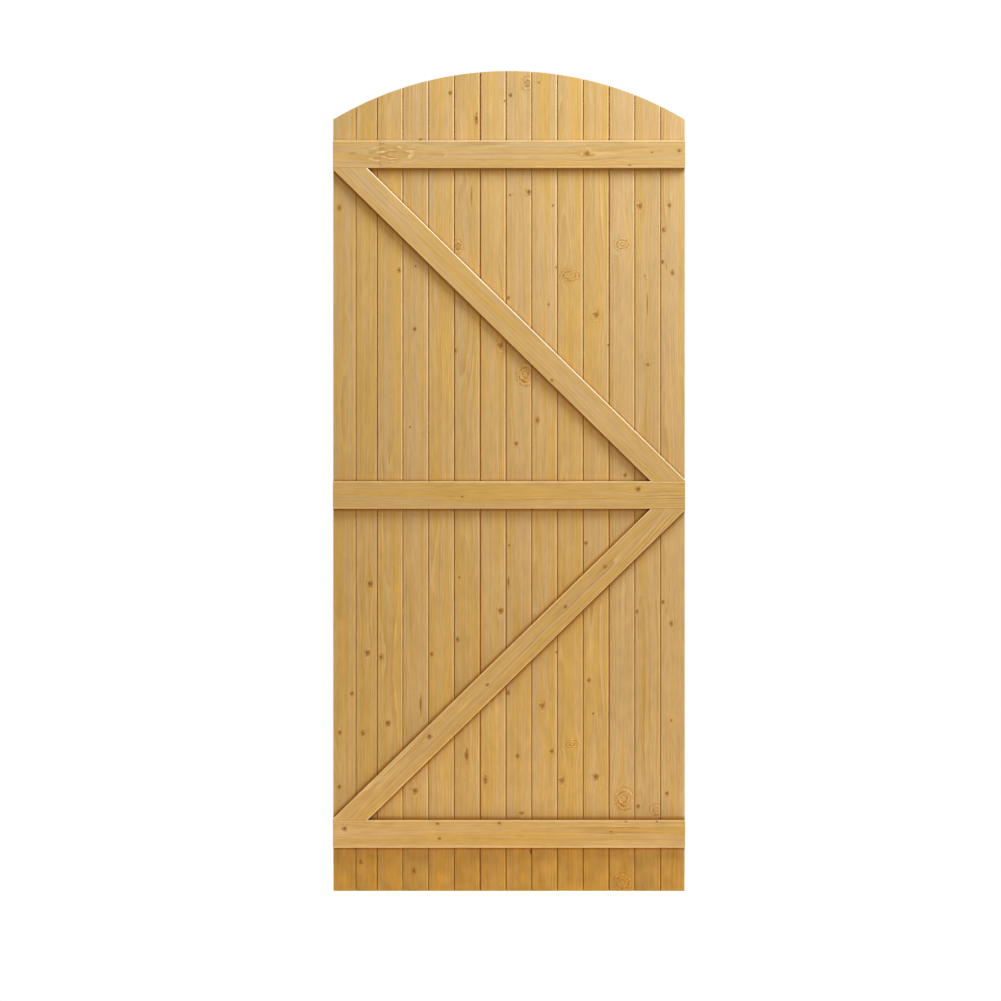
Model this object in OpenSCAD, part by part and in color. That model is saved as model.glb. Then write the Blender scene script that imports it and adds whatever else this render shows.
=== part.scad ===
// Arched garden gate leaf: tongue-and-groove boards nailed to three ledges and two braces.
// Millimetres. X runs across the leaf, -Y is the ledged side, +Y the street face, Z is up.
// The origin is the middle of the leaf's foot, halfway through its depth.

/* [Leaf] */
// Width of the leaf over its outer boards
gate_w = 900; // [700:10:1200]
// Height of the crown of the arch above the foot
gate_h = 2100; // [1700:10:2400]
// Rise of the arch from its shoulders to its crown
arch_rise = 124; // [60:5:220]

/* [Boards] */
// Number of boards across the leaf
boards = 14; // [10:1:18]
// Thickness of the boards
board_t = 14; // [12:0.5:22]
// Width of the outer board on the left, with its groove ripped off
left_board_w = 58; // [40:1:100]
// Width of the ripped board next to it
second_board_w = 54; // [40:1:100]
// Width of the outer board on the right, with its tongue ripped off
right_board_w = 62; // [40:1:100]

/* [Tongue and groove] */
// Thickness of the tongue
tongue_t = 4.4; // [3:0.2:5]
// How far the tongue stands out of its shoulder
tongue_l = 5.5; // [3:0.5:8]
// Room around the tongue in its groove
groove_gap = 0.25; // [0.1:0.05:0.6]
// Gap between the shoulders on the ledged side
shoulder_gap = 1.6; // [0.4:0.2:3]
// Width of the V-joint chamfers on both faces
v_joint = 2.4; // [1:0.2:3]

/* [Ledges and braces] */
// Width of the three ledges
ledge_w = 70; // [50:1:100]
// Width of the two braces
brace_w = 64; // [40:1:90]
// Thickness of ledges and braces
ledge_t = 24; // [18:0.5:40]
// Radius that eases their long arrises
arris_r = 2.2; // [1:0.2:4]
// Foot of the leaf to the underside of the bottom ledge
foot_margin = 113; // [60:5:300]
// Top of the top ledge to the shoulders of the arch
shoulder_margin = 56; // [20:1:200]
// How far the middle ledge lies under the halfway line
middle_drop = 2.5; // [-200:0.5:200]
// Small flat that blunts the sharp tips of the braces
brace_nib = 4; // [1:0.5:10]

/* [Nails] */
// Diameter of a nail's shank
nail_d = 2.6; // [2:0.1:3.4]
// Diameter of a nail's head
nail_head_d = 6; // [4:0.2:8]
// Thickness of a nail's head, driven flush with the street face
nail_head_t = 1.2; // [0.8:0.1:2]
// Length of a nail's point
nail_point = 4; // [2:0.5:6]
// Wood left over a nail's point
nail_cover = 3; // [2:0.5:8]
// Distance of a nail from the side of its board
nail_edge = 15; // [10:1:20]
// Distance of a nail from the long edge of its ledge
nail_inset = 17; // [10:1:24]

/* [Hidden] */
depth = board_t + ledge_t;
face_y = depth / 2;
mate_y = face_y - board_t;
ledge_mid_y = mate_y - ledge_t / 2;
nail_l = depth - nail_cover;

arch_r = (pow(gate_w / 2, 2) + pow(arch_rise, 2)) / (2 * arch_rise);
arch_centre_z = gate_h - arch_r;

bottom_ledge_z = foot_margin;
top_ledge_z = gate_h - arch_rise - shoulder_margin - ledge_w;
middle_ledge_z = (bottom_ledge_z + top_ledge_z) / 2 - middle_drop;

// The whole boards share the width that the three ripped ones leave.
board_cover = (gate_w - left_board_w - second_board_w - right_board_w) / (boards - 3);

// Flats in an eased arris, sides of a round nail and of the arch, and the overrun of a cut.
arris_steps = 4;
round_steps = 48;
arch_steps = 240;
over = 20;

LEDGES = ["top_ledge", "middle_ledge", "bottom_ledge"];
BRACES = ["upper_brace", "lower_brace"];
ledge_z = [top_ledge_z, middle_ledge_z, bottom_ledge_z];
// Each brace fills the bay between two ledges: its lowest and highest point, and the way it leans.
bays = [
    [middle_ledge_z + ledge_w, top_ledge_z, -1],
    [bottom_ledge_z + ledge_w, middle_ledge_z, 1],
];

function two_digits(n) = str(n < 10 ? "0" : "", n);
function board_name(i) = str("board_", two_digits(i + 1));

board_colour = "#d2a766";
ledge_colour = "#cda262";
brace_colour = "#d4a968";
nail_colour = "#a3a6a8";

// ---- Where the boards lie ----

function board_left(i) =
    -gate_w / 2
    + (i > 0 ? left_board_w : 0)
    + (i > 1 ? second_board_w + (i - 2) * board_cover : 0);
function board_right(i) = i == boards - 1 ? gate_w / 2 : board_left(i + 1);
function board_middle(i) = (board_left(i) + board_right(i)) / 2;

// ---- How a brace leans ----

// A brace's edges pass its nibs at opposite corners of its bay, so it stands a little steeper than the
// line between them.
function brace_angle(bay) =
    let (rise = bay[1] - bay[0] - 2 * brace_nib)
    bay[2] * (atan2(rise, gate_w) + asin(brace_w / norm([rise, gate_w])));
function brace_z(bay, x) = (bay[0] + bay[1]) / 2 + x * tan(brace_angle(bay));

// ---- Where the nails are driven, as [x, z] on the street face ----

// Two nails hold each board to each ledge, on a slant that turns over from board to board.
function ledge_nails_of(i, z) =
    let (low = z + nail_inset, high = z + ledge_w - nail_inset, even = i % 2 == 0)
    [
        [board_left(i) + nail_edge, even ? low : high],
        [board_right(i) - nail_edge, even ? high : low],
    ];
// One nail holds each board to a brace, where the brace's middle line crosses it inside the bay.
function brace_nails_of(i, bay) =
    let (x = board_middle(i), z = brace_z(bay, x))
    z > bay[0] + nail_inset && z < bay[1] - nail_inset ? [[x, z]] : [];
function board_nails(i) = concat(
    [for (z = ledge_z) each ledge_nails_of(i, z)],
    [for (bay = bays) each brace_nails_of(i, bay)]
);
function ledge_nails(z) = [for (i = [0 : boards - 1]) each ledge_nails_of(i, z)];
function brace_nails(bay) = [for (i = [0 : boards - 1]) each brace_nails_of(i, bay)];

// ---- Outlines ----

// Left side of a board, from the ledged side to the street face: a groove, or a plain sawn edge.
function left_side(x, plain) =
    let (low = (board_t - tongue_t) / 2 - groove_gap, high = board_t - low, s = x + shoulder_gap / 2)
    plain
        ? [[x, 0], [x, board_t]]
        : [
            [s + v_joint, 0],
            [s, v_joint],
            [s, low],
            [x + tongue_l + 2 * groove_gap, low],
            [x + tongue_l + 2 * groove_gap, high],
            [x, high],
            [x, board_t - v_joint],
            [x + v_joint, board_t],
        ];
// Right side of a board, from the street face back to the ledged side: a tongue, or a plain sawn edge.
function right_side(x, plain) =
    let (low = (board_t - tongue_t) / 2, high = board_t - low, nose = tongue_t / 5, s = x - shoulder_gap / 2)
    plain
        ? [[x, board_t], [x, 0]]
        : [
            [x - v_joint, board_t],
            [x, board_t - v_joint],
            [x, high],
            [x + tongue_l - nose, high],
            [x + tongue_l, high - nose],
            [x + tongue_l, low + nose],
            [x + tongue_l - nose, low],
            [s, low],
            [s, v_joint],
            [s - v_joint, 0],
        ];
// Section of a ledge or brace, with its four long arrises eased.
function bar_outline(t, w) = [
    for (q = [0 : 3], s = [0 : arris_steps])
        let (
            a = 90 * (q + s / arris_steps),
            x = (q == 0 || q == 3 ? 1 : -1) * (t / 2 - arris_r),
            y = (q < 2 ? 1 : -1) * (w / 2 - arris_r)
        )
        [x + arris_r * cos(a), y + arris_r * sin(a)]
];

// ---- Sub-parts ----

// One nail with its head flush in the street face and its point towards the ledged side.
module nail(place) {
    translate([place[0], face_y, place[1]]) rotate([90, 0, 0]) {
        cylinder(d = nail_head_d, h = nail_head_t, $fn = round_steps);
        cylinder(d = nail_d, h = nail_l - nail_point, $fn = round_steps);
        translate([0, 0, nail_l - nail_point])
            cylinder(d1 = nail_d, d2 = 0, h = nail_point, $fn = round_steps);
    }
}

module nails(places) {
    color(nail_colour) for (place = places) nail(place);
}

// Everything under the arch: the arch's own round, over a slab that is wider than the leaf.
module under_arch() {
    translate([0, 0, arch_centre_z]) rotate([90, 0, 0])
        cylinder(r = arch_r, h = depth + 2 * over, center = true, $fn = arch_steps);
    translate([-arch_r - over, -depth / 2 - over, -over])
        cube([2 * (arch_r + over), depth + 2 * over, arch_centre_z + over]);
}

module board(i) {
    outline = concat(
        left_side(board_left(i), i == 0),
        right_side(board_right(i), i == boards - 1)
    );
    color(board_colour) difference() {
        intersection() {
            translate([0, mate_y, 0]) linear_extrude(height = gate_h + over) polygon(outline);
            under_arch();
        }
        for (place = board_nails(i)) nail(place);
    }
}

// A length of planed timber along X, centred on the origin.
module bar(length, width) {
    rotate([90, 0, 90]) linear_extrude(height = length, center = true)
        polygon(bar_outline(ledge_t, width));
}

module ledge(z) {
    color(ledge_colour) difference() {
        translate([0, ledge_mid_y, z + ledge_w / 2]) bar(gate_w, ledge_w);
        for (place = ledge_nails(z)) nail(place);
    }
}

// A bar on the slant, sawn off along the two ledges and flush with the leaf's sides.
module brace(bay) {
    color(brace_colour) difference() {
        intersection() {
            translate([0, ledge_mid_y, (bay[0] + bay[1]) / 2])
                rotate([0, -brace_angle(bay), 0]) bar(2 * gate_w, brace_w);
            translate([-gate_w / 2, -depth, bay[0]]) cube([gate_w, 2 * depth, bay[1] - bay[0]]);
        }
        for (place = brace_nails(bay)) nail(place);
    }
}

// ---- Nodes ----

for (i = [0 : boards - 1])
    board(i);
for (k = [0 : 2]) {
    ledge(ledge_z[k]);
    nails(ledge_nails(ledge_z[k]));
}
for (k = [0 : 1]) {
    brace(bays[k]);
    nails(brace_nails(bays[k]));
}
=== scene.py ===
import functools
import math
import random

import bmesh
import bpy
import numpy as np
from bpy.props import FloatProperty, FloatVectorProperty, PointerProperty
from mathutils import Matrix, Vector


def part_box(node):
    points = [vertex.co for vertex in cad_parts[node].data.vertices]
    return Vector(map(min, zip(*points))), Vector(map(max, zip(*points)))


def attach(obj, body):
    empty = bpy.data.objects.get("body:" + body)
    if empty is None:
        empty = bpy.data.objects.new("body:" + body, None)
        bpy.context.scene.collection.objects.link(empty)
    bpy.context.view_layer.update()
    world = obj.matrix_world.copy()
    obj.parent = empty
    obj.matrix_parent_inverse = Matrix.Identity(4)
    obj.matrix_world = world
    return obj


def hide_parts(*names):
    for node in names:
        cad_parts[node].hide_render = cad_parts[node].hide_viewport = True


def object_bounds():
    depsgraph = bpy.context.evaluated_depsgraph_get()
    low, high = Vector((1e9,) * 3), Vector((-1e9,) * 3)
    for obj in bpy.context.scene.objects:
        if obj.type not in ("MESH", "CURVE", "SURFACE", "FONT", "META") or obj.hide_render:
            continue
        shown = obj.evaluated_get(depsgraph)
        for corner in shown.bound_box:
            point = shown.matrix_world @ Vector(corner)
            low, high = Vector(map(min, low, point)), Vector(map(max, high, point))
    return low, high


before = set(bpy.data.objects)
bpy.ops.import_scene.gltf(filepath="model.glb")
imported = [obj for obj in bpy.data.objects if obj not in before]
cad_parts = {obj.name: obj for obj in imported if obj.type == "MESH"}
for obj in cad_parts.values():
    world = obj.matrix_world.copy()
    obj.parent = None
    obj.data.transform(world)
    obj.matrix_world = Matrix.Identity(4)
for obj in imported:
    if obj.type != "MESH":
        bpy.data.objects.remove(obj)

bl_info = {
    "name": "Garden Gate Leaf",
    "version": (1, 0, 0),
    "blender": (4, 5, 0),
    "location": "View3D > Sidebar > Gate",
    "description": "Builds an arched, ledged and braced gate leaf of planed pine",
    "category": "Add Mesh",
}

MM = 0.001
CAD_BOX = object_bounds()
BOARDS = sorted(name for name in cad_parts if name.startswith("board_"))
LEDGES = ("top_ledge", "middle_ledge", "bottom_ledge")
BRACES = ("upper_brace", "lower_brace")

LEFT, RIGHT = CAD_BOX[0].x, CAD_BOX[1].x
LEDGED_Y, STREET_Y = CAD_BOX[0].y, CAD_BOX[1].y
MATE_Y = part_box(BOARDS[0])[0].y
CROWN_Z = CAD_BOX[1].z
BOARD_T = STREET_Y - MATE_Y
LEDGE_T = MATE_Y - LEDGED_Y
JOINT_LINES = [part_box(name)[0].x for name in BOARDS] + [RIGHT]

# Rubbing and painted light of a face: from 0 to 1 the wood gets barer, rubbed on the arrises and a painted
# highlight on the joint chamfers that face the key light; from 1 to 2 a brighter painted highlight; below 0
# painted shade.
PAINTED_HIGHLIGHT, BARE, PAINTED_SHADE = 2.0, 1.0, -1.0

# Within this distance, in metres, a cut runs through a vertex that is already there.
SNAP = 1e-7

# What each V-joint shows on the ledged side, in millimetres: the pale chamfer left of the gap, the gap,
# and the chamfer right of it. The boards were not pushed up equally tight.
JOINTS = (
    (1.2, 2.2, 0.8), (1.0, 2.4, 1.4), (2.6, 2.2, 0.8), (2.8, 2.2, 1.0), (1.8, 2.6, 1.4),
    (1.8, 3.8, 1.6), (2.0, 2.4, 1.8), (2.2, 2.4, 1.0), (2.8, 2.6, 1.0), (2.0, 2.8, 0.8),
    (1.6, 3.0, 1.6), (2.2, 2.6, 0.8), (1.8, 2.0, 1.4),
)

# Look of each board: how bright its wood is, and how grey against the others, or how golden below nought.
BOARD_LOOKS = (
    (0.95, 0.0), (0.96, -0.6), (0.98, -0.4), (0.97, 0.7), (1.01, -0.2), (0.97, 0.0), (1.01, 0.0),
    (0.99, 0.2), (1.01, 0.0), (1.02, -0.4), (1.02, -0.2), (1.01, 1.0), (0.98, 0.7), (1.02, 1.0),
)

# Knots of each timber, in millimetres: X, Z, radius, and how many times longer than wide they are.
KNOTS = {
    "board_01": ((-435, 1750, 4, 1), (-434, 266, 3, 1), (-433, 405, 3, 1), (-402, 505, 3, 1)),
    "board_02": ((-380, 75, 4, 1), (-375, 405, 4, 1), (-364, 610, 5, 1), (-357, 787, 5, 1)),
    "board_03": ((-328, 600, 4, 1), (-312, 430, 5, 1), (-282, 1590, 4, 1)),
    "board_04": (
        (-254, 1188, 2, 1), (-244, 52, 4, 1), (-242, 257, 5, 1), (-241, 1438, 3, 1), (-240, 1600, 2, 1),
        (-227, 476, 2, 7), (-226, 1922, 3, 1),
    ),
    "board_05": ((-198, 606, 3, 1), (-150, 2043, 3, 1)),
    "board_06": (
        (-139, 1384, 4, 1), (-132, 645, 4, 1), (-131, 1650, 7, 1), (-128, 803, 2, 1), (-108, 345, 3, 3),
        (-96, 1782, 1, 12), (-84, 1978, 4, 2),
    ),
    "board_07": ((-61, 285, 4, 1.5), (-23, 718, 5, 1), (-21, 1396, 6, 1), (-12, 2023, 2, 1)),
    "board_08": (
        (-3, 508, 4, 1), (-2, 1518, 3, 1), (-2, 790, 2, 4), (0, 885, 2, 1), (2, 1782, 2, 1),
        (4, 2037, 3, 1), (19, 1145, 3, 1), (22, 345, 3, 1), (33, 199, 6, 0.6), (42, 1323, 12, 1),
        (47, 2068, 7, 1), (50, 1790, 5, 1), (57, 101, 3, 2),
    ),
    "board_09": (
        (72, 1206, 4, 1), (76, 2070, 2, 1), (86, 474, 6, 1), (101, 1502, 2, 1), (110, 357, 3, 1),
        (112, 1755, 2, 1), (121, 611, 2, 1), (121, 1597, 2, 1),
    ),
    "board_10": ((136, 282, 6, 1), (155, 1577, 13, 0.5), (161, 376, 9, 0.5)),
    "board_11": (
        (197, 890, 3, 1), (205, 539, 3, 1), (215, 454, 2, 1), (221, 293, 5, 1), (224, 1475, 6, 1),
        (254, 1398, 2, 1),
    ),
    "board_12": ((291, 22, 11, 0.8), (291, 1656, 10, 0.6), (295, 237, 12, 1), (298, 1064, 3, 1)),
    "board_13": (
        (328, 715, 3, 1), (331, 216, 3, 1), (336, 1753, 6, 1), (348, 1575, 2, 1), (355, 1348, 4, 0.6),
        (354, 1505, 1, 14), (376, 209, 8, 0.8),
    ),
    "board_14": (
        (393, 1610, 3, 1), (394, 739, 3, 1), (395, 1694, 4, 1), (405, 249, 3, 1), (411, 1755, 3, 1),
        (415, 437, 2, 1), (415, 685, 4, 1), (418, 1584, 4, 1),
    ),
    "top_ledge": (
        (-400, 1887, 5, 2), (-290, 1885, 10, 3.4), (-186, 1884, 7, 2), (199, 1886, 6, 1), (308, 1857, 2, 1),
        (365, 1890, 2, 1), (435, 1894, 4, 1),
    ),
    "middle_ledge": ((-120, 1010, 2, 1), (330, 1030, 5, 1)),
    "bottom_ledge": (
        (-420, 163, 5, 1), (-183, 174, 3, 1), (-178, 136, 3, 1), (-25, 175, 3, 1), (261, 154, 2, 1),
        (298, 180, 2, 1), (377, 180, 2, 1),
    ),
    "upper_brace": ((109, 1307, 3, 1), (295, 1098, 4, 1)),
    "lower_brace": ((245, 831, 4, 1), (144, 729, 4, 1), (-55, 529, 3, 1), (-204, 398, 5, 1)),
}

# Finger joints, in millimetres: X of the joint in a ledge that was glued up from two lengths.
SPLICES = {"top_ledge": -330}


# ---- Sizes and colours ----

def size(name, text, default_mm):
    return FloatProperty(name=name, description=text, default=default_mm * MM, unit="LENGTH", precision=4)


def metres(name, text, default):
    return FloatProperty(name=name, description=text, default=default, unit="LENGTH")


def watts(name, text, default):
    return FloatProperty(name=name, description=text, default=default, unit="POWER")


def share(name, text, default):
    return FloatProperty(name=name, description=text, default=default, subtype="FACTOR", min=0, max=1)


def colour(name, text, default):
    return FloatVectorProperty(
        name=name, description=text, default=default, subtype="COLOR", size=3, min=0, max=1
    )


class GateTimberSizes(bpy.types.PropertyGroup):
    tongue_length: size("Tongue length", "How far a tongue stands out of its shoulder", 5.5)
    tongue_thickness: size("Tongue thickness", "Thickness of a tongue", 4.4)
    groove_room: size("Groove room", "Room round a tongue in its groove", 0.25)
    street_chamfer: size("Street chamfer", "Width of the V-joint chamfers on the street face", 2.4)
    vee_depth: size("V depth", "Greatest depth of the chamfers on the ledged side", 2.2)
    planed_edge: size("Planed edge", "Radius that softens the boards' long corners", 0.35)
    sawn_edge: size("Sawn edge", "Radius that softens the corners of a sawn end", 0.7)
    ledge_arris: size("Ledge arris", "Radius of the long arrises of ledges and braces", 2.6)
    brace_width: size("Brace width", "Width of a brace's face", 64)
    brace_nib: size("Brace nib", "Flat that blunts a brace's sharp tips", 4)
    brace_seam: size("Brace seam", "Radius that opens a seam where a brace meets a ledge", 1.2)
    # Below this height the boards are darker and more golden.
    foot: size("Foot", "Height up to which the boards have soaked up stain", 135)
    # Painted side light: each board paler towards its tongue, on the right, the side that turns to the key
    # light.
    fade: share("Fade", "How much paler a board gets towards its tongue", 0.05)
    # Share of the darkening that grows gently over the whole height towards the bottom; the rest lies below
    # the foot height.
    low_darkening: share("Ageing", "Share of the stain that the lower timber shows", 0.40)
    column: size("Column width", "Width of the mesh's columns across a timber", 6)
    row: size("Row height", "Height of the mesh's rows along a timber", 9)


class GateNailSizes(bpy.types.PropertyGroup):
    shank: size("Shank", "Diameter of a nail's shank", 2.6)
    head: size("Head", "Diameter of a nail's head", 6)
    head_thickness: size("Head thickness", "Depth that a nail's head is driven into the board", 1.2)
    dome: size("Dome", "How far a head's middle stands out of the street face", 0.4)
    length: size("Length", "Length from a head's face to the nail's point", 35)
    point: size("Point", "Length of a nail's point", 4)
    edge: size("Edge distance", "Distance of a nail from the side of its board", 15)
    inset: size("Inset", "Distance of a nail from the long edge of its ledge", 17)


class GateFinish(bpy.types.PropertyGroup):
    golden: colour("Golden wood", "Golden streaks of the pale wood", (0.60, 0.365, 0.105))
    beige: colour("Beige wood", "Greyer streaks of the pale wood", (0.585, 0.385, 0.185))
    latewood: colour("Latewood", "Dark lines of the growth rings", (0.42, 0.20, 0.045))
    # Also the colour of the painted highlight on the joint chamfers that face the key light.
    bare_and_lit: colour("Bare wood", "Wood on the arrises, where the treatment is thin", (0.92, 0.68, 0.37))
    # Painted highlight: the near-white line on the upper brace's upper arris, where the key light falls.
    highlight_colour: colour("Fresh wood", "Wood planed last, on the upper brace's upper arris", (1.0, 0.90, 0.72))
    amber: colour("Amber", "Resin-rich wood round a knot", (0.44, 0.19, 0.015))
    knot: colour("Knot", "Dark heart of a knot", (0.19, 0.07, 0.018))
    # What the wood is multiplied by towards the bottom, where it is darker and more golden.
    low_tint: colour("Stain", "What stained wood is multiplied by, towards the foot", (0.68, 0.54, 0.22))
    # Painted shade: what the wood is multiplied by beside the framing, in the joint gaps, on the joint
    # chamfers that face away from the key light and at the brace seams.
    oil: colour("Oil", "What wood is multiplied by where oil has pooled", (0.62, 0.38, 0.08))
    end_grain: colour("End grain", "Sawn ends, which drink more of the treatment", (0.55, 0.29, 0.09))
    zinc: colour("Zinc", "Galvanised nails", (0.52, 0.53, 0.54))
    ring: size("Growth ring", "Average width of a growth ring in a board", 4.0)
    # Width of the band of painted shade beside ledges and braces.
    pool: size("Pool", "Width of the dark line of pooled oil beside ledges and braces", 12)


class GateStage(bpy.types.PropertyGroup):
    distance: metres("Camera distance", "From the camera to the face of the boards", 10.0)
    frame_width: metres("Frame width", "Width that the picture takes in at the boards", 2.5634)
    camera_x: metres("Camera X", "Camera's place across the gate", -0.0218)
    camera_z: metres("Camera height", "Camera's height above the floor", 1.0)
    floor: colour("Floor", "Plain studio floor", (0.94, 0.93, 0.91))
    floor_radius: metres("Floor radius", "Radius of the paper that the gate stands on", 1.7)
    key_power: watts("Key light", "Power of the soft light above the ledged side", 128)
    fill_power: watts("Fill light", "Power of the light behind the camera", 121)
    back_power: watts("Back light", "Power of the light on the street face", 280)
    sky: share("Surround", "Strength of the white surround as a light", 0.20)
    key_tint: colour("Key tint", "Colour of the key light", (0.82, 0.92, 1.0))
    back_tint: colour("Back tint", "Colour of the back light", (1.0, 0.95, 0.86))
    warmth: colour("Warmth", "Colour of the fill light and of the surround's light", (1.0, 0.87, 0.58))


SETTINGS = {
    "gate_timber": GateTimberSizes,
    "gate_nails": GateNailSizes,
    "gate_finish": GateFinish,
    "gate_stage": GateStage,
}


# ---- Shader arithmetic ----

class Term:
    """One output of a shader node; arithmetic on it adds Math nodes to its tree."""

    def __init__(self, finish, output):
        self.finish = finish
        self.output = output

    def math(self, operation, *values):
        return self.finish.node("ShaderNodeMath", {"operation": operation}, dict(enumerate(values)))

    def __add__(self, other):
        return self.math("ADD", self, other)

    def __radd__(self, other):
        return self.math("ADD", other, self)

    def __sub__(self, other):
        return self.math("SUBTRACT", self, other)

    def __rsub__(self, other):
        return self.math("SUBTRACT", other, self)

    def __mul__(self, other):
        return self.math("MULTIPLY", self, other)

    def __rmul__(self, other):
        return self.math("MULTIPLY", other, self)

    def __truediv__(self, other):
        return self.math("DIVIDE", self, other)

    def __rtruediv__(self, other):
        return self.math("DIVIDE", other, self)

    def root(self):
        return self.math("SQRT", self)

    def whole(self):
        return self.math("FLOOR", self)

    def sine(self):
        return self.math("SINE", self)

    def absolute(self):
        return self.math("ABSOLUTE", self)

    def at_least(self, other):
        return self.math("MAXIMUM", self, other)

    def at_most(self, other):
        return self.math("MINIMUM", self, other)

    def step(self, low, high):
        """A smooth rise from 0 at low to 1 at high, or a fall where low is the larger."""
        return self.finish.node(
            "ShaderNodeMapRange",
            {"interpolation_type": "SMOOTHSTEP"},
            {"Value": self, "From Min": low, "From Max": high},
        )


class Finish:
    """A node material under construction."""

    def __init__(self, name):
        self.material = bpy.data.materials.new(name)
        self.material.use_nodes = True
        self.tree = self.material.node_tree
        self.tree.nodes.clear()

    def node(self, kind, settings, inputs, output=0):
        """Adds a node, sets its settings and then its sockets, and gives one of its outputs."""
        node = self.tree.nodes.new(kind)
        for name, value in settings.items():
            setattr(node, name, value)
        for name, value in inputs.items():
            socket = node.inputs[name]
            if isinstance(value, Term):
                self.tree.links.new(value.output, socket)
            else:
                socket.default_value = value
        return Term(self, node.outputs[output]) if node.outputs else None

    def attribute(self, name, output="Vector"):
        return self.node("ShaderNodeAttribute", {"attribute_name": name}, {}, output)

    def place(self):
        return self.node("ShaderNodeTexCoord", {}, {}, "Object")

    def parts(self, vector):
        return [self.node("ShaderNodeSeparateXYZ", {}, {0: vector}, axis) for axis in range(3)]

    def vector(self, x, y, z):
        return self.node("ShaderNodeCombineXYZ", {}, {0: x, 1: y, 2: z})

    def noise(self, vector, detail=2.0, roughness=0.5, scale=1.0):
        sockets = {"Vector": vector, "Scale": scale, "Detail": detail, "Roughness": roughness}
        return self.node("ShaderNodeTexNoise", {}, sockets)

    def mix(self, factor, first, second, blend="MIX"):
        """Mixes two colours, each a Term or three numbers."""
        first, second = [part if isinstance(part, Term) else (*part, 1.0) for part in (first, second)]
        settings = {"data_type": "RGBA", "blend_type": blend}
        return self.node("ShaderNodeMix", settings, {0: factor, 6: first, 7: second}, 2)

    def brighten(self, colour_term, factor):
        return self.node("ShaderNodeVectorMath", {"operation": "SCALE"}, {0: colour_term, "Scale": factor})

    def bump(self, height, distance, strength):
        return self.node("ShaderNodeBump", {}, {"Height": height, "Distance": distance, "Strength": strength})

    def close(self, **sockets):
        """Ends the material in a Principled shader and returns it."""
        inputs = {name.replace("_", " "): value for name, value in sockets.items()}
        shader = self.node("ShaderNodeBsdfPrincipled", {}, inputs)
        self.node("ShaderNodeOutputMaterial", {}, {"Surface": shader})
        return self.material


# ---- Finishes ----

def knot_masks(finish):
    """How far the nearest knot pushes the grain aside, and the masks of its heart, amber and pale arcs."""
    across, along, radius = finish.parts(finish.attribute("knot"))
    reach = finish.attribute("knot_reach", "Fac")
    swell = radius * 1.5
    swell_squared = swell * swell
    squared = across * across + along * along * 0.16
    push = across * swell_squared / squared.at_least(swell_squared) * reach
    ragged = finish.noise(finish.vector(across * 170, along * 170, radius * 900), detail=2)
    broken = finish.noise(finish.vector(across * 110, along * 110, radius * 700 + 9), detail=1)
    unevenness = (ragged - 0.5) * (12 * MM / radius.at_least(6 * MM))
    radial = (across * across + along * along * 0.7).root() / radius + unevenness
    arcs = (radial * (radius * 700).at_least(3.4) + math.pi).sine() * broken.step(0.43, 0.57)
    around = radial.step(2.9, 1.5) * radial.step(0.2, 0.8) * reach
    heart = radial.step(1.2, 0.55) * reach * radius.step(8.5 * MM, 5 * MM)
    amber = (arcs.step(-0.1, 0.6) * 0.9 + 0.12) * around
    pale = arcs.step(-0.3, -0.9) * around * (radius.step(3 * MM, 9 * MM) * 0.7 + 0.3)
    return push, heart, amber, pale


def framing_edges(finish, timber):
    """Two distances on the boards' face, for painted shade: from the framing, longer on some sides that face
    the key light, and from the corners where a brace meets a ledge."""
    x, y, z = finish.parts(finish.place())
    less = 3 * MM
    edges, tight = [], []
    for name, above in zip(LEDGES, (None, less, 0)):
        low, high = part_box(name)
        edges.append((z - low.z).absolute())
        if above is not None:
            edges.append((z - high.z).absolute() + above)
    for (low, high, turn), above in zip(bays(), (less, 0)):
        lean = brace_lean(low, high, turn, timber)
        up = z - (low + high) / 2
        off_line = up * math.cos(lean) - x * math.sin(lean)
        beyond = up.absolute() - (high - low) / 2
        for side, extra in ((1, above), (-1, 0)):
            away = (off_line - side * timber.brace_width / 2).absolute()
            edges.append(away.at_least(beyond) + extra)
            tight.append(away.at_least(beyond.absolute()))
    off_face = (y - MATE_Y).absolute()
    return [functools.reduce(Term.at_most, group).at_least(off_face) for group in (edges, tight)]


def finger_joint(across, splice):
    """The line of a glued finger joint, and the comb of its teeth."""
    pitch, drift = 9 * MM, 31 * MM
    line = splice.absolute().step(1.8 * MM, 0.6 * MM)
    tooth = (across * (2 * math.pi / pitch)).sine()
    length = (across * (2 * math.pi / drift)).sine() * (4 * MM) + 9 * MM
    return line * 0.6 + tooth.step(0.4, 0.95) * (length - splice).step(0, 3 * MM) * splice.step(0, 2 * MM)


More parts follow.
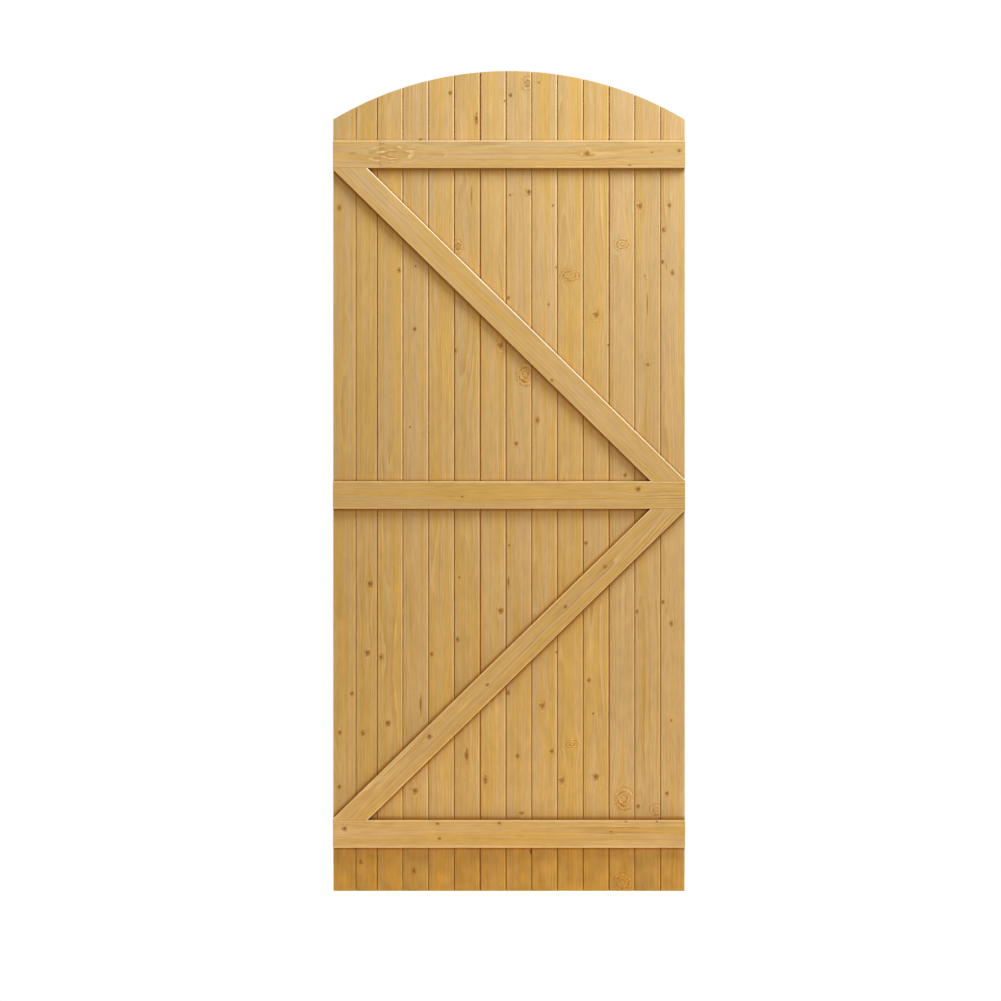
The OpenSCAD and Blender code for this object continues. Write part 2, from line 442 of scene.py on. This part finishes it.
def pine(name, look, sawn=False, boarding=False):
    """Oiled pine: rings round a pith, bent aside by knots. Boarding has painted shade beside the framing."""
    splice_shift, wander_width, ripple_width, taper = 16 * MM, 30 * MM, 2.8 * MM, 4 * MM
    ring = look.ring if boarding else look.ring * 1.4
    strength, least = (0.34, 0.10) if boarding else (0.62, 0.24)
    amber_share, pale_share = (1.0, 0.5) if boarding else (0.5, 0.8)

    finish = Finish(name)
    across, depth, along = finish.parts(finish.attribute("grain"))
    tone = finish.attribute("tone", "Fac")
    wear_and_light = finish.attribute("wear_and_light", "Fac")
    low_tint = finish.attribute("low_tint", "Fac")
    splice = finish.attribute("splice", "Fac")
    push, heart, amber, pale = knot_masks(finish)

    second_length = splice.step(-0.1 * MM, 0.1 * MM)
    trunk = across + second_length * splice_shift
    wander = finish.noise(finish.vector(trunk * 9, depth * 9, along * 1.6 + second_length), detail=1)
    ripple = finish.noise(finish.vector(across * 90, depth * 90, along * 9), detail=2)
    straight = trunk - push
    out = (straight * straight + depth * depth).root()
    age = (out + (wander - 0.5) * wander_width + (ripple - 0.5) * ripple_width + along * taper) / ring
    year = age.whole()
    season = age - year
    vigour = finish.node("ShaderNodeTexWhiteNoise", {"noise_dimensions": "1D"}, {"W": year})
    latewood = season.step(0.45, 0.92) * season.step(1.0, 0.93) * (vigour * 0.75 + 0.25)
    figure = finish.noise(finish.vector(across * 14, depth * 9, along * 3.4), detail=2).step(0.48, 0.66)
    cloud = finish.noise(finish.vector(across * 26, depth * 26, along * 7), detail=2)
    blotch = finish.noise(finish.vector(across * 38, depth * 38, along * 26), detail=2)
    fibre = finish.noise(finish.vector(across * 330, depth * 330, along * 22), detail=3, roughness=0.65)
    streak = finish.noise(finish.vector(straight * 190, depth * 190, along * 1.1), detail=3, roughness=0.6)
    band = finish.noise(finish.vector(straight * 60, depth * 60, along * 2.2), detail=2)

    grey = band * 0.6 + streak * 0.4 + finish.attribute("greyness", "Fac") * 0.08
    wood = finish.mix(grey.step(0.40, 0.60), look.golden, look.beige)
    wood = finish.mix(latewood * (figure * strength + least), wood, look.latewood)
    wood = finish.mix(season.step(0.30, 0.05) * figure * (strength * 0.5), wood, look.bare_and_lit)
    wood = finish.mix(amber * amber_share, wood, look.amber)
    # Barer wood: rubbing on the arrises, and a painted highlight on the joint chamfers that face the key
    # light.
    wood = finish.mix(pale * pale_share + wear_and_light.step(0.0, BARE) * 0.8, wood, look.bare_and_lit)
    # A brighter painted highlight on the upper brace's upper arris.
    wood = finish.mix(wear_and_light.step(BARE, PAINTED_HIGHLIGHT) * 0.85, wood, look.highlight_colour)
    wood = finish.mix(heart * 0.85 + finger_joint(across, splice) * 0.5, wood, look.knot)
    uneven = (fibre - 0.5) * 0.5 + (streak - 0.5) * 0.3 + (cloud - 0.5) * 0.2 + (blotch - 0.5) * low_tint * 0.6
    wood = finish.brighten(wood, tone * (1 + uneven))
    # Darker and more golden towards the bottom.
    wood = finish.mix(low_tint, wood, finish.mix(1.0, wood, look.low_tint, "MULTIPLY"))
    # Painted shade on the joint chamfers that face away from the key light, in the joint gaps and at the
    # brace seams.
    darkened = wear_and_light.step(0.0, PAINTED_SHADE)

    if boarding:
        edge, tight = framing_edges(finish, bpy.context.scene.gate_timber)
        # Painted shade in a band beside the ledges and braces, and a deep painted shadow in the acute corners
        # where a brace meets a ledge.
        darkened = darkened.at_least(edge.step(look.pool, 0.0))
        wood = finish.brighten(wood, 1 - tight.step(8 * MM, 3 * MM) * 0.75)
    wood = finish.mix(darkened, wood, finish.mix(1.0, wood, look.oil, "MULTIPLY"))

    if sawn:
        scratch = finish.noise(finish.vector(across * 90, depth * 1500, along * 90), detail=2)
        ends = finish.mix(latewood * 0.5, look.end_grain, look.latewood)
        wood = finish.brighten(finish.mix(0.8, wood, ends), 0.85 + (scratch - 0.5) * 0.5)
        relief = scratch * 0.8 + latewood * 0.3
        roughness = 0.78 + (scratch - 0.5) * 0.2
    else:
        relief = latewood * 0.6 + fibre * 0.5 + amber * 0.4 - heart * 0.6
        roughness = 0.58 - latewood * 0.08 + (fibre - 0.5) * 0.2 - heart * 0.12
    normal = finish.bump(relief, 0.2 * MM, 0.55)
    return finish.close(Base_Color=wood, Roughness=roughness, Normal=normal, Specular_IOR_Level=0.25)


def galvanised(name, look):
    """Dull zinc with a cross-hatched head."""
    hatching = 9000
    head_depth = 0.4 * MM
    finish = Finish(name)
    place = finish.place()
    x, y, z = finish.parts(place)
    hatch = (x * hatching).sine() * (z * hatching).sine()
    spangle = finish.node("ShaderNodeTexVoronoi", {}, {"Vector": place, "Scale": 900})
    dirt = finish.noise(place, detail=3, scale=240)
    soiled = finish.mix(dirt.step(0.5, 0.75) * 0.5, look.zinc, look.knot)
    metal = finish.brighten(soiled, 0.85 + spangle * 0.4)
    relief = hatch * (1 - (y - STREET_Y).step(0.0, -head_depth)) + dirt * 0.5
    return finish.close(
        Base_Color=metal, Metallic=1 - dirt.step(0.5, 0.8) * 0.6, Roughness=0.42 + dirt * 0.25,
        Normal=finish.bump(relief, 0.2 * MM, 0.5),
    )


def studio_floor(name, stage):
    """Pale paper that fades into the surround."""
    gone, whole = 1.4, 0.3
    finish = Finish(name)
    place = finish.place()
    x, y, z = finish.parts(place)
    mottle = finish.noise(place, detail=3, scale=3)
    paper = finish.mix(mottle * 0.04, stage.floor, (0.7, 0.7, 0.7))
    alpha = (x * x + y * y).root().step(gone, whole)
    return finish.close(
        Base_Color=paper, Roughness=0.7 + mottle * 0.1, Alpha=alpha,
        Emission_Color=paper, Emission_Strength=0.6,
    )


# ---- Timber work ----

def everything(bm):
    return bm.verts[:] + bm.edges[:] + bm.faces[:]


def prism(outline, low, high):
    """An outline in X and Y, drawn out along Z."""
    bm = bmesh.new()
    bm.faces.layers.float.new("wear_and_light")
    face = bm.faces.new([bm.verts.new((x, y, low)) for x, y in outline])
    drawn = bmesh.ops.extrude_face_region(bm, geom=[face])
    moved = [part for part in drawn["geom"] if isinstance(part, bmesh.types.BMVert)]
    bmesh.ops.translate(bm, verts=moved, vec=(0, 0, high - low))
    bmesh.ops.recalc_face_normals(bm, faces=bm.faces[:])
    return bm


def ease(bm, edges, radius, segments, wear_and_light_level=BARE):
    """Rounds some edges, and marks what is new with its level of rubbing and painted light."""
    wear_and_light = bm.faces.layers.float["wear_and_light"]
    made = bmesh.ops.bevel(
        bm, geom=edges, offset=radius, offset_type="OFFSET", segments=segments, profile=0.5,
        affect="EDGES", clamp_overlap=True, material=-1,
    )
    for face in made["faces"]:
        face.smooth = True
        face[wear_and_light] = wear_and_light_level


def paint_joint_light_and_shade(bm):
    """Paints a highlight on the chamfers that face right, towards the key light, and paints shade on the
    others and on the faces of the tongue and the groove.
    """
    # Painted highlight on the chamfers that face the key light, painted shade on the others.
    lit, shaded = 0.55, -0.5
    wear_and_light = bm.faces.layers.float["wear_and_light"]
    for face in bm.faces:
        across, out = face.normal.x, abs(face.normal.y)
        inside = abs(face.calc_center_median().y - MATE_Y - BOARD_T / 2) < BOARD_T / 2 - 1 * MM
        if 0.2 < abs(across) < 0.98 and out > 0.1:
            face[wear_and_light] = lit if across > 0 else shaded
        elif inside and abs(face.normal.z) < 0.5:
            face[wear_and_light] = PAINTED_SHADE


def corners(bm, least_degrees):
    """The edges whose two faces turn by more than an angle."""
    least = math.radians(least_degrees)
    return [edge for edge in bm.edges if edge.is_manifold and edge.calc_face_angle() > least]


def saw(bm, point, normal):
    """Cuts off what lies beyond a plane, and closes the cut."""
    cut = bmesh.ops.bisect_plane(
        bm, geom=everything(bm), plane_co=point, plane_no=normal, clear_outer=True, dist=SNAP
    )
    rim = [part for part in cut["geom_cut"] if isinstance(part, bmesh.types.BMEdge)]
    bmesh.ops.edgeloop_fill(bm, edges=rim)


def slice_at(bm, axis, stations):
    """Divides a timber by planes across an axis."""
    for station in stations:
        bmesh.ops.bisect_plane(bm, geom=everything(bm), plane_co=axis * station, plane_no=axis, dist=SNAP)


def stations_between(low, high, spacing):
    count = max(1, round((high - low) / spacing))
    return [low + (high - low) * k / count for k in range(1, count)]


def extent(verts, axis):
    places = [vert.co.dot(axis) for vert in verts]
    return min(places), max(places)


def mesh_evenly(bm, side, axis, timber):
    """Gives a timber even columns across its width and even rows along it."""
    slice_at(bm, side, stations_between(*extent(bm.verts, side), timber.column))
    long_edge = 0.3
    spans = [extent(edge.verts, axis) for edge in bm.edges if edge.calc_length() > long_edge]
    low = max(span[0] for span in spans) + timber.row / 2
    high = min(span[1] for span in spans) - timber.row / 2
    foot, top = extent(bm.verts, axis)
    ends = stations_between(foot, low, timber.row) + stations_between(high, top, timber.row)
    slice_at(bm, axis, [*ends, low, high])
    middle = [edge for edge in bm.edges if edge.calc_length() > long_edge]
    rows = round((high - low) / timber.row)
    bmesh.ops.subdivide_edges(bm, edges=middle, cuts=rows - 1, use_grid_fill=True)


def knot_fields(local, knots):
    """For each point, the offset from its nearest knot, the knot's radius, and how much of it is felt."""
    far, felt_radii, drawn_out = 9.0, 7, 2.4
    nearest = np.full(len(local), far)
    second = np.full(len(local), far)
    knot = np.zeros((len(local), 3))
    knot[:, 2] = MM
    for across, along, radius, stretch in knots:
        u = local[:, 0] - across
        v = (local[:, 2] - along) / stretch
        span = np.sqrt(u * u + (v / drawn_out) ** 2) / (radius * felt_radii)
        closer = span < nearest
        second = np.where(closer, nearest, np.minimum(second, span))
        nearest = np.where(closer, span, nearest)
        knot[closer] = np.stack([u, v, np.full(len(u), radius)], axis=1)[closer]
    reach = np.clip((1.0 - nearest) / 0.4, 0, 1) * np.clip((second - nearest) / 0.35, 0, 1)
    return knot, reach


def mark_grain(mesh, name, placement, pith, is_board, tone, greyness):
    """Gives a timber's mesh the attributes that its finish reads."""
    ledged_blur, street_blur = 20 * MM, 150 * MM
    timber = bpy.context.scene.gate_timber
    world = np.empty(len(mesh.vertices) * 3)
    mesh.vertices.foreach_get("co", world)
    world = world.reshape(-1, 3)
    back = placement.inverted()
    local = world @ np.array(back.to_3x3()).T + np.array(back.translation)
    knots = []
    for x, z, radius, stretch in KNOTS[name]:
        place = back @ Vector((x * MM, 0, z * MM))
        knots.append((place.x, place.z, radius * MM, stretch))
    knot, reach = knot_fields(local, knots)
    # Painted side light: each board paler towards its tongue, on the right, the side that turns to the key
    # light.
    paler = timber.fade * local[:, 0] / np.abs(local[:, 0]).max() * is_board
    blur = np.where(world[:, 1] > MATE_Y + BOARD_T / 2, street_blur, ledged_blur)
    # Darker towards the bottom: steeply below the foot height on the boards, and gently over the whole height
    # of every timber.
    darkened = np.clip((timber.foot - world[:, 2]) / blur, 0, 1) * is_board * (1 - timber.low_darkening)
    darkened += timber.low_darkening * np.clip(1 - world[:, 2] / CROWN_Z, 0, 1)
    no_splice = -9000
    for title, kind, values in (
        ("grain", "FLOAT_VECTOR", local - np.array(pith)),
        ("knot", "FLOAT_VECTOR", knot),
        ("knot_reach", "FLOAT", reach),
        # The tone holds each board's own brightness and the painted side light.
        ("tone", "FLOAT", tone * (1 + paler)),
        ("low_tint", "FLOAT", darkened),
        ("greyness", "FLOAT", np.full(len(local), greyness)),
        ("splice", "FLOAT", local[:, 2] - SPLICES.get(name, no_splice) * MM),
    ):
        layer = mesh.attributes.new(title, kind, "POINT")
        layer.data.foreach_set("vector" if kind == "FLOAT_VECTOR" else "value", np.ravel(values))


def finish_timber(bm, name, slot, placement, pith, tone=1.0, greyness=0.0):
    """Ends a timber: sawn ends told apart, a regular mesh, its grain and its finishes."""
    axis = (placement.to_3x3() @ Vector((0, 0, 1))).normalized()
    side = (placement.to_3x3() @ Vector((1, 0, 0))).normalized()
    for face in bm.faces:
        face.material_index = int(abs(face.normal.dot(axis)) > 0.6)
    mesh_evenly(bm, side, axis, bpy.context.scene.gate_timber)
    bmesh.ops.recalc_face_normals(bm, faces=bm.faces[:])
    mesh = bpy.data.meshes.new(name)
    bm.to_mesh(mesh)
    bm.free()
    is_board = slot == "boards"
    mark_grain(mesh, name, placement, pith, is_board, tone, greyness)
    for material in ("boarding pine" if is_board else "planed pine", "sawn pine"):
        mesh.materials.append(bpy.data.materials[material])
    add_piece(mesh, name + "_timber", name)


def add_piece(mesh, title, node):
    """Puts a finished mesh in the scene, in the place of a node."""
    piece = bpy.data.objects.new(title, mesh)
    bpy.context.scene.collection.objects.link(piece)
    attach(piece, "root")
    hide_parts(node)


def pith_of(seed):
    """Where the heart of the tree ran past a timber: beside it, behind it, and where along the trunk."""
    draw = random.Random(seed)
    return draw.uniform(-22, 22) * MM, -draw.uniform(28, 75) * MM, draw.uniform(-40, 40)


def board_outline(left, right, left_joint, right_joint, timber):
    """Section of a board: a groove on its left, a tongue on its right, and a V at every corner."""
    low = (BOARD_T - timber.tongue_thickness) / 2
    high = BOARD_T - low
    vee = timber.street_chamfer
    if left_joint is None:
        points = [(left, 0), (left, BOARD_T)]
    else:
        gap, chamfer = left_joint[1] * MM, left_joint[2] * MM
        shoulder = left + gap / 2
        sunk = min(chamfer, timber.vee_depth)
        bottom = left + timber.tongue_length + 2 * timber.groove_room
        points = [
            (shoulder + chamfer, 0), (shoulder, sunk),
            (shoulder, low - timber.groove_room), (bottom, low - timber.groove_room),
            (bottom, high + timber.groove_room), (left, high + timber.groove_room),
            (left, BOARD_T - vee), (left + vee, BOARD_T),
        ]
    if right_joint is None:
        points += [(right, BOARD_T), (right, 0)]
    else:
        gap, chamfer = right_joint[1] * MM, right_joint[0] * MM
        shoulder = right - gap / 2
        sunk = min(chamfer, timber.vee_depth)
        tip = right + timber.tongue_length
        points += [
            (right - vee, BOARD_T), (right, BOARD_T - vee), (right, high), (tip, high),
            (tip, low), (shoulder, low), (shoulder, sunk), (shoulder - chamfer, 0),
        ]
    return [(x, MATE_Y + y) for x, y in points]


def arch_radius():
    """Radius of the arch, from the crown and the highest point of the first board."""
    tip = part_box(BOARDS[0])[1]
    drop = CROWN_Z - tip.z
    return (tip.x ** 2 + drop ** 2) / (2 * drop)


def saw_arch(bm, left, right, chords):
    """Cuts a board's top to the arch, chord by chord."""
    radius = arch_radius()
    centre = Vector((0, 0, CROWN_Z - radius))
    turns = [math.asin((left + (right - left) * k / chords) / radius) for k in range(chords + 1)]
    for first, last in zip(turns, turns[1:]):
        middle = (first + last) / 2
        outward = Vector((math.sin(middle), 0, math.cos(middle)))
        saw(bm, centre + outward * radius * math.cos((last - first) / 2), outward)


def brace_lean(low, high, turn, timber):
    """Angle of a brace whose edges pass the nibs at opposite corners of its bay."""
    rise = high - low - 2 * timber.brace_nib
    run = RIGHT - LEFT
    return turn * (math.atan2(rise, run) + math.asin(timber.brace_width / math.hypot(rise, run)))


def bays():
    """Lowest and highest Z of the two bays that the braces fill, and the way each brace leans."""
    under_top, under_middle = [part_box(name)[0].z for name in LEDGES[:2]]
    over_middle, over_bottom = [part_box(name)[1].z for name in LEDGES[1:]]
    return (over_middle, under_top, -1), (over_bottom, under_middle, 1)


def bar(length, width, lean, centre_z, timber):
    """A planed bar centred on the leaf and turned to its lean, with its placement."""
    half_w, half_t, half_l = width / 2, LEDGE_T / 2, length / 2
    outline = [(-half_w, -half_t), (half_w, -half_t), (half_w, half_t), (-half_w, half_t)]
    bm = prism(outline, -half_l, half_l)
    long_edges = [edge for edge in bm.edges if edge.calc_length() > length * 0.99]
    rubbed = 0.8
    for edge in long_edges:
        # The upper brace's upper arris takes a painted highlight; the other arrises are rubbed.
        faces_key_light = lean < 0 and edge.verts[0].co.x < 0
        ease(bm, [edge], timber.ledge_arris, 4, PAINTED_HIGHLIGHT if faces_key_light else rubbed)
    turn = Matrix.Rotation(math.pi / 2 - lean, 4, "Y")
    placement = Matrix.Translation((0, MATE_Y - half_t, centre_z)) @ turn
    bmesh.ops.transform(bm, matrix=placement, verts=bm.verts[:])
    return bm, placement


# ---- Operators ----

class GATE_OT_finishes(bpy.types.Operator):
    """Makes the pine, its sawn ends and the galvanised steel"""
    bl_idname = "gate.finishes"
    bl_label = "Finishes"

    def execute(self, context):
        look = context.scene.gate_finish
        pine("planed pine", look)
        pine("boarding pine", look, boarding=True)
        pine("sawn pine", look, sawn=True)
        galvanised("galvanised steel", look)
        return {"FINISHED"}


class GATE_OT_boards(bpy.types.Operator):
    """Mills the tongue-and-groove boards and cuts their tops to the arch"""
    bl_idname = "gate.boards"
    bl_label = "Boards"

    def execute(self, context):
        timber = context.scene.gate_timber
        joints = (None, *JOINTS, None)
        for i, name in enumerate(BOARDS):
            left, right = JOINT_LINES[i], JOINT_LINES[i + 1]
            outline = board_outline(left, right, joints[i], joints[i + 1], timber)
            bm = prism(outline, 0, CROWN_Z + 10 * MM)
            paint_joint_light_and_shade(bm)
            ease(bm, [e for e in corners(bm, 20) if e.calc_length() > 1], timber.planed_edge, 2)
            saw_arch(bm, left, right + timber.tongue_length, chords=5)
            ease(bm, corners(bm, 50), timber.sawn_edge, 2)
            placement = Matrix.Translation(((left + right) / 2, MATE_Y, 0))
            finish_timber(bm, name, "boards", placement, pith_of(i), *BOARD_LOOKS[i])
        return {"FINISHED"}


class GATE_OT_ledges(bpy.types.Operator):
    """Planes the three ledges"""
    bl_idname = "gate.ledges"
    bl_label = "Ledges"

    def execute(self, context):
        timber = context.scene.gate_timber
        for i, name in enumerate(LEDGES):
            low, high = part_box(name)
            bm, placement = bar(high.x - low.x, high.z - low.z, 0, (low.z + high.z) / 2, timber)
            ease(bm, corners(bm, 50), timber.sawn_edge, 2)
            finish_timber(bm, name, "ledges", placement, pith_of(40 + i))
        return {"FINISHED"}


class GATE_OT_braces(bpy.types.Operator):
    """Planes the two braces and saws them to their bays"""
    bl_idname = "gate.braces"
    bl_label = "Braces"

    def execute(self, context):
        timber = context.scene.gate_timber
        for i, (name, (low, high, turn)) in enumerate(zip(BRACES, bays())):
            lean = brace_lean(low, high, turn, timber)
            bm, placement = bar(2 * (RIGHT - LEFT), timber.brace_width, lean, (low + high) / 2, timber)
            for point, normal in (
                ((0, 0, low), (0, 0, -1)), ((0, 0, high), (0, 0, 1)),
                ((LEFT, 0, 0), (-1, 0, 0)), ((RIGHT, 0, 0), (1, 0, 0)),
            ):
                saw(bm, point, normal)
            # The rounded edges round the sawn ends take painted shade, a dark line where a brace meets a
            # ledge.
            ease(bm, corners(bm, 35), timber.brace_seam, 2, PAINTED_SHADE)
            finish_timber(bm, name, "braces", placement, pith_of(60 + i))
        return {"FINISHED"}


class GATE_OT_nails(bpy.types.Operator):
    """Drives the nails through the boards into ledges and braces"""
    bl_idname = "gate.nails"
    bl_label = "Nails"

    def execute(self, context):
        nails = context.scene.gate_nails
        timber = context.scene.gate_timber
        for name in LEDGES:
            low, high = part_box(name)
            places = []
            for i, (left, right) in enumerate(zip(JOINT_LINES, JOINT_LINES[1:])):
                heights = (low.z + nails.inset, high.z - nails.inset)
                first, last = heights if i % 2 == 0 else heights[::-1]
                places += [(left + nails.edge, first), (right - nails.edge, last)]
            self.drive(name + "_nails", places, nails)
        for name, (low, high, turn) in zip(BRACES, bays()):
            slope = math.tan(brace_lean(low, high, turn, timber))
            places = []
            for left, right in zip(JOINT_LINES, JOINT_LINES[1:]):
                x = (left + right) / 2
                z = (low + high) / 2 + x * slope
                if low + nails.inset < z < high - nails.inset:
                    places.append((x, z))
            self.drive(name + "_nails", places, nails)
        return {"FINISHED"}

    def drive(self, node, places, nails):
        """One piece that holds every nail of a group."""
        radius, shank = nails.head / 2, nails.shank / 2
        profile = (
            (0, nails.dome), (radius * 0.6, nails.dome * 0.8), (radius, 0), (radius, -nails.head_thickness),
            (shank, -nails.head_thickness), (shank, nails.point - nails.length), (0, -nails.length),
        )
        bm = bmesh.new()
        for x, z in places:
            verts = [bm.verts.new((x + r, STREET_Y + y, z)) for r, y in profile]
            edges = [bm.edges.new(pair) for pair in zip(verts, verts[1:])]
            bmesh.ops.spin(
                bm, geom=verts + edges, cent=(x, STREET_Y, z), axis=(0, 1, 0), dvec=(0, 0, 0),
                angle=2 * math.pi, steps=12, use_merge=True, use_duplicate=False,
            )
        bmesh.ops.remove_doubles(bm, verts=bm.verts[:], dist=1e-6)
        bmesh.ops.recalc_face_normals(bm, faces=bm.faces[:])
        for face in bm.faces:
            face.smooth = abs(face.normal.y) < 0.99
        mesh = bpy.data.meshes.new(node)
        bm.to_mesh(mesh)
        bm.free()
        mesh.materials.append(bpy.data.materials["galvanised steel"])
        mesh.set_sharp_from_angle(angle=math.radians(35))
        add_piece(mesh, node.replace("_nails", "_driven_nails"), node)


class GATE_OT_stage(bpy.types.Operator):
    """Lays the floor and sets up the lights and the camera"""
    bl_idname = "gate.stage"
    bl_label = "Stage"

    def execute(self, context):
        stage = context.scene.gate_stage
        self.lay_floor(stage)
        self.surround(context, stage)
        middle = Vector((0, 0, CROWN_Z / 2))
        self.light("key", (1.4, -2.1, 3.8), middle, 2.4, stage.key_power, stage.key_tint)
        self.light("fill", (0.4, -5.5, 0.7), middle, 3.0, stage.fill_power, stage.warmth)
        self.light("back", (-1.8, 4.6, 3.2), middle, 3.4, stage.back_power, stage.back_tint)
        camera = bpy.data.cameras.new("camera")
        camera.lens = camera.sensor_width * stage.distance / stage.frame_width
        camera.clip_end = 100
        holder = bpy.data.objects.new("camera", camera)
        holder.location = (stage.camera_x, MATE_Y - stage.distance, stage.camera_z)
        holder.rotation_euler = (math.pi / 2, 0, 0)
        context.scene.collection.objects.link(holder)
        context.scene.camera = holder
        context.scene.view_settings.view_transform = "Standard"
        return {"FINISHED"}

    def lay_floor(self, stage):
        bm = bmesh.new()
        bmesh.ops.create_circle(bm, cap_ends=True, segments=64, radius=stage.floor_radius)
        mesh = bpy.data.meshes.new("floor")
        bm.to_mesh(mesh)
        bm.free()
        mesh.materials.append(studio_floor("studio floor", stage))
        floor = bpy.data.objects.new("floor", mesh)
        bpy.context.scene.collection.objects.link(floor)

    def surround(self, context, stage):
        """A surround that looks white and sheds a weaker, warmer light."""
        world = bpy.data.worlds.new("surround")
        world.use_nodes = True
        tree = world.node_tree
        background = tree.nodes["Background"]
        seen = tree.nodes.new("ShaderNodeLightPath").outputs["Is Camera Ray"]
        paint = tree.nodes.new("ShaderNodeMixRGB")
        paint.inputs["Color1"].default_value = (*(stage.sky * channel for channel in stage.warmth), 1)
        paint.inputs["Color2"].default_value = (1, 1, 1, 1)
        tree.links.new(seen, paint.inputs["Fac"])
        tree.links.new(paint.outputs["Color"], background.inputs["Color"])
        context.scene.world = world

    def light(self, name, place, target, width, power, tint):
        lamp = bpy.data.lights.new(name, "AREA")
        lamp.shape = "DISK"
        lamp.size = width
        lamp.energy = power
        lamp.color = tint
        holder = bpy.data.objects.new(name, lamp)
        holder.location = place
        holder.rotation_euler = (target - Vector(place)).to_track_quat("-Z", "Y").to_euler()
        bpy.context.scene.collection.objects.link(holder)


class GATE_PT_panel(bpy.types.Panel):
    """Lists the gate's pieces, sizes and finishes"""
    bl_label = "Garden Gate"
    bl_idname = "GATE_PT_panel"
    bl_space_type = "VIEW_3D"
    bl_region_type = "UI"
    bl_category = "Gate"

    def draw(self, context):
        for step in STEPS:
            self.layout.operator(step.bl_idname)
        for name, group in SETTINGS.items():
            box = self.layout.box()
            for prop in group.__annotations__:
                box.prop(getattr(context.scene, name), prop)


STEPS = (
    GATE_OT_stage, GATE_OT_finishes, GATE_OT_boards, GATE_OT_ledges, GATE_OT_braces, GATE_OT_nails,
)


def register():
    for kind in (*SETTINGS.values(), *STEPS, GATE_PT_panel):
        bpy.utils.register_class(kind)
    for name, group in SETTINGS.items():
        setattr(bpy.types.Scene, name, PointerProperty(type=group))


def unregister():
    for name in SETTINGS:
        delattr(bpy.types.Scene, name)
    for kind in reversed((*SETTINGS.values(), *STEPS, GATE_PT_panel)):
        bpy.utils.unregister_class(kind)


def main():
    register()
    for step in STEPS:
        group, name = step.bl_idname.split(".")
        getattr(getattr(bpy.ops, group), name)()


if __name__ == "__main__":
    main()
